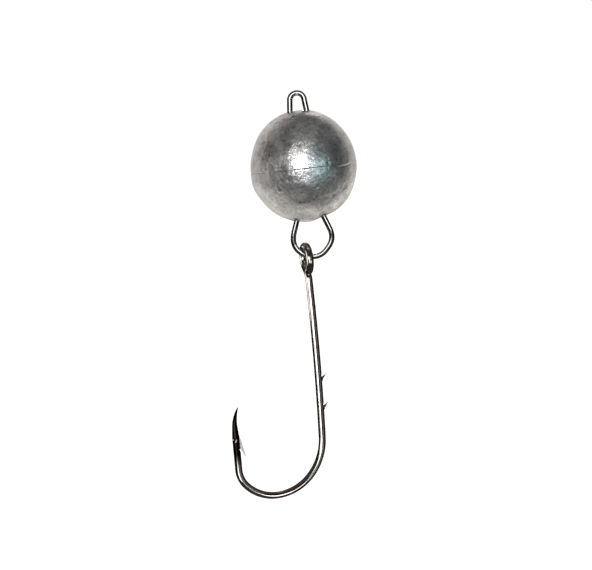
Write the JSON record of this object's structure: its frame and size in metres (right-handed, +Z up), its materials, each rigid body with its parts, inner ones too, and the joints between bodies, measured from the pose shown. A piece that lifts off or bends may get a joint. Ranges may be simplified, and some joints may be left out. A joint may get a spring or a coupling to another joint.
{
  "type": "jig head",
  "caption": "Collapsible jig head: a cast lead ball on a bent-wire clip, with a bait-holding hook swinging on the clip's loop.",
  "frame": {"origin": "where the line bears, at the inside top of the wire clip's upper eye", "axes": "+Z up along the clip's axis away from the hook; the clip's wire lies in the XZ plane; the hook's point is towards -X"},
  "size_m": [0.0222, 0.0152, 0.0567],
  "materials": {
    "cast_lead": "dull as-cast lead with a mottled, slightly pitted skin",
    "stainless_wire": "drawn bright spring wire",
    "black_nickel": "polished dark nickel plate with a faint warm tint"
  },
  "bodies": {
    "clip": {"wire_clip": "stainless_wire"},
    "ball": {"lead_ball": "cast_lead"},
    "hook": {"hook": "black_nickel"}
  },
  "joints": [
    {"name": "ball_slide", "type": "slide", "parent": "clip", "child": "ball", "axis": [0, 0, 1], "range_m": [0, 0.019]},
    {"name": "hook_swing", "type": "hinge", "parent": "clip", "child": "hook", "pos_m": [-0.0012, 0, -0.02237], "axis": [1, 0, 0], "range_deg": [-130, 130]}
  ]
}
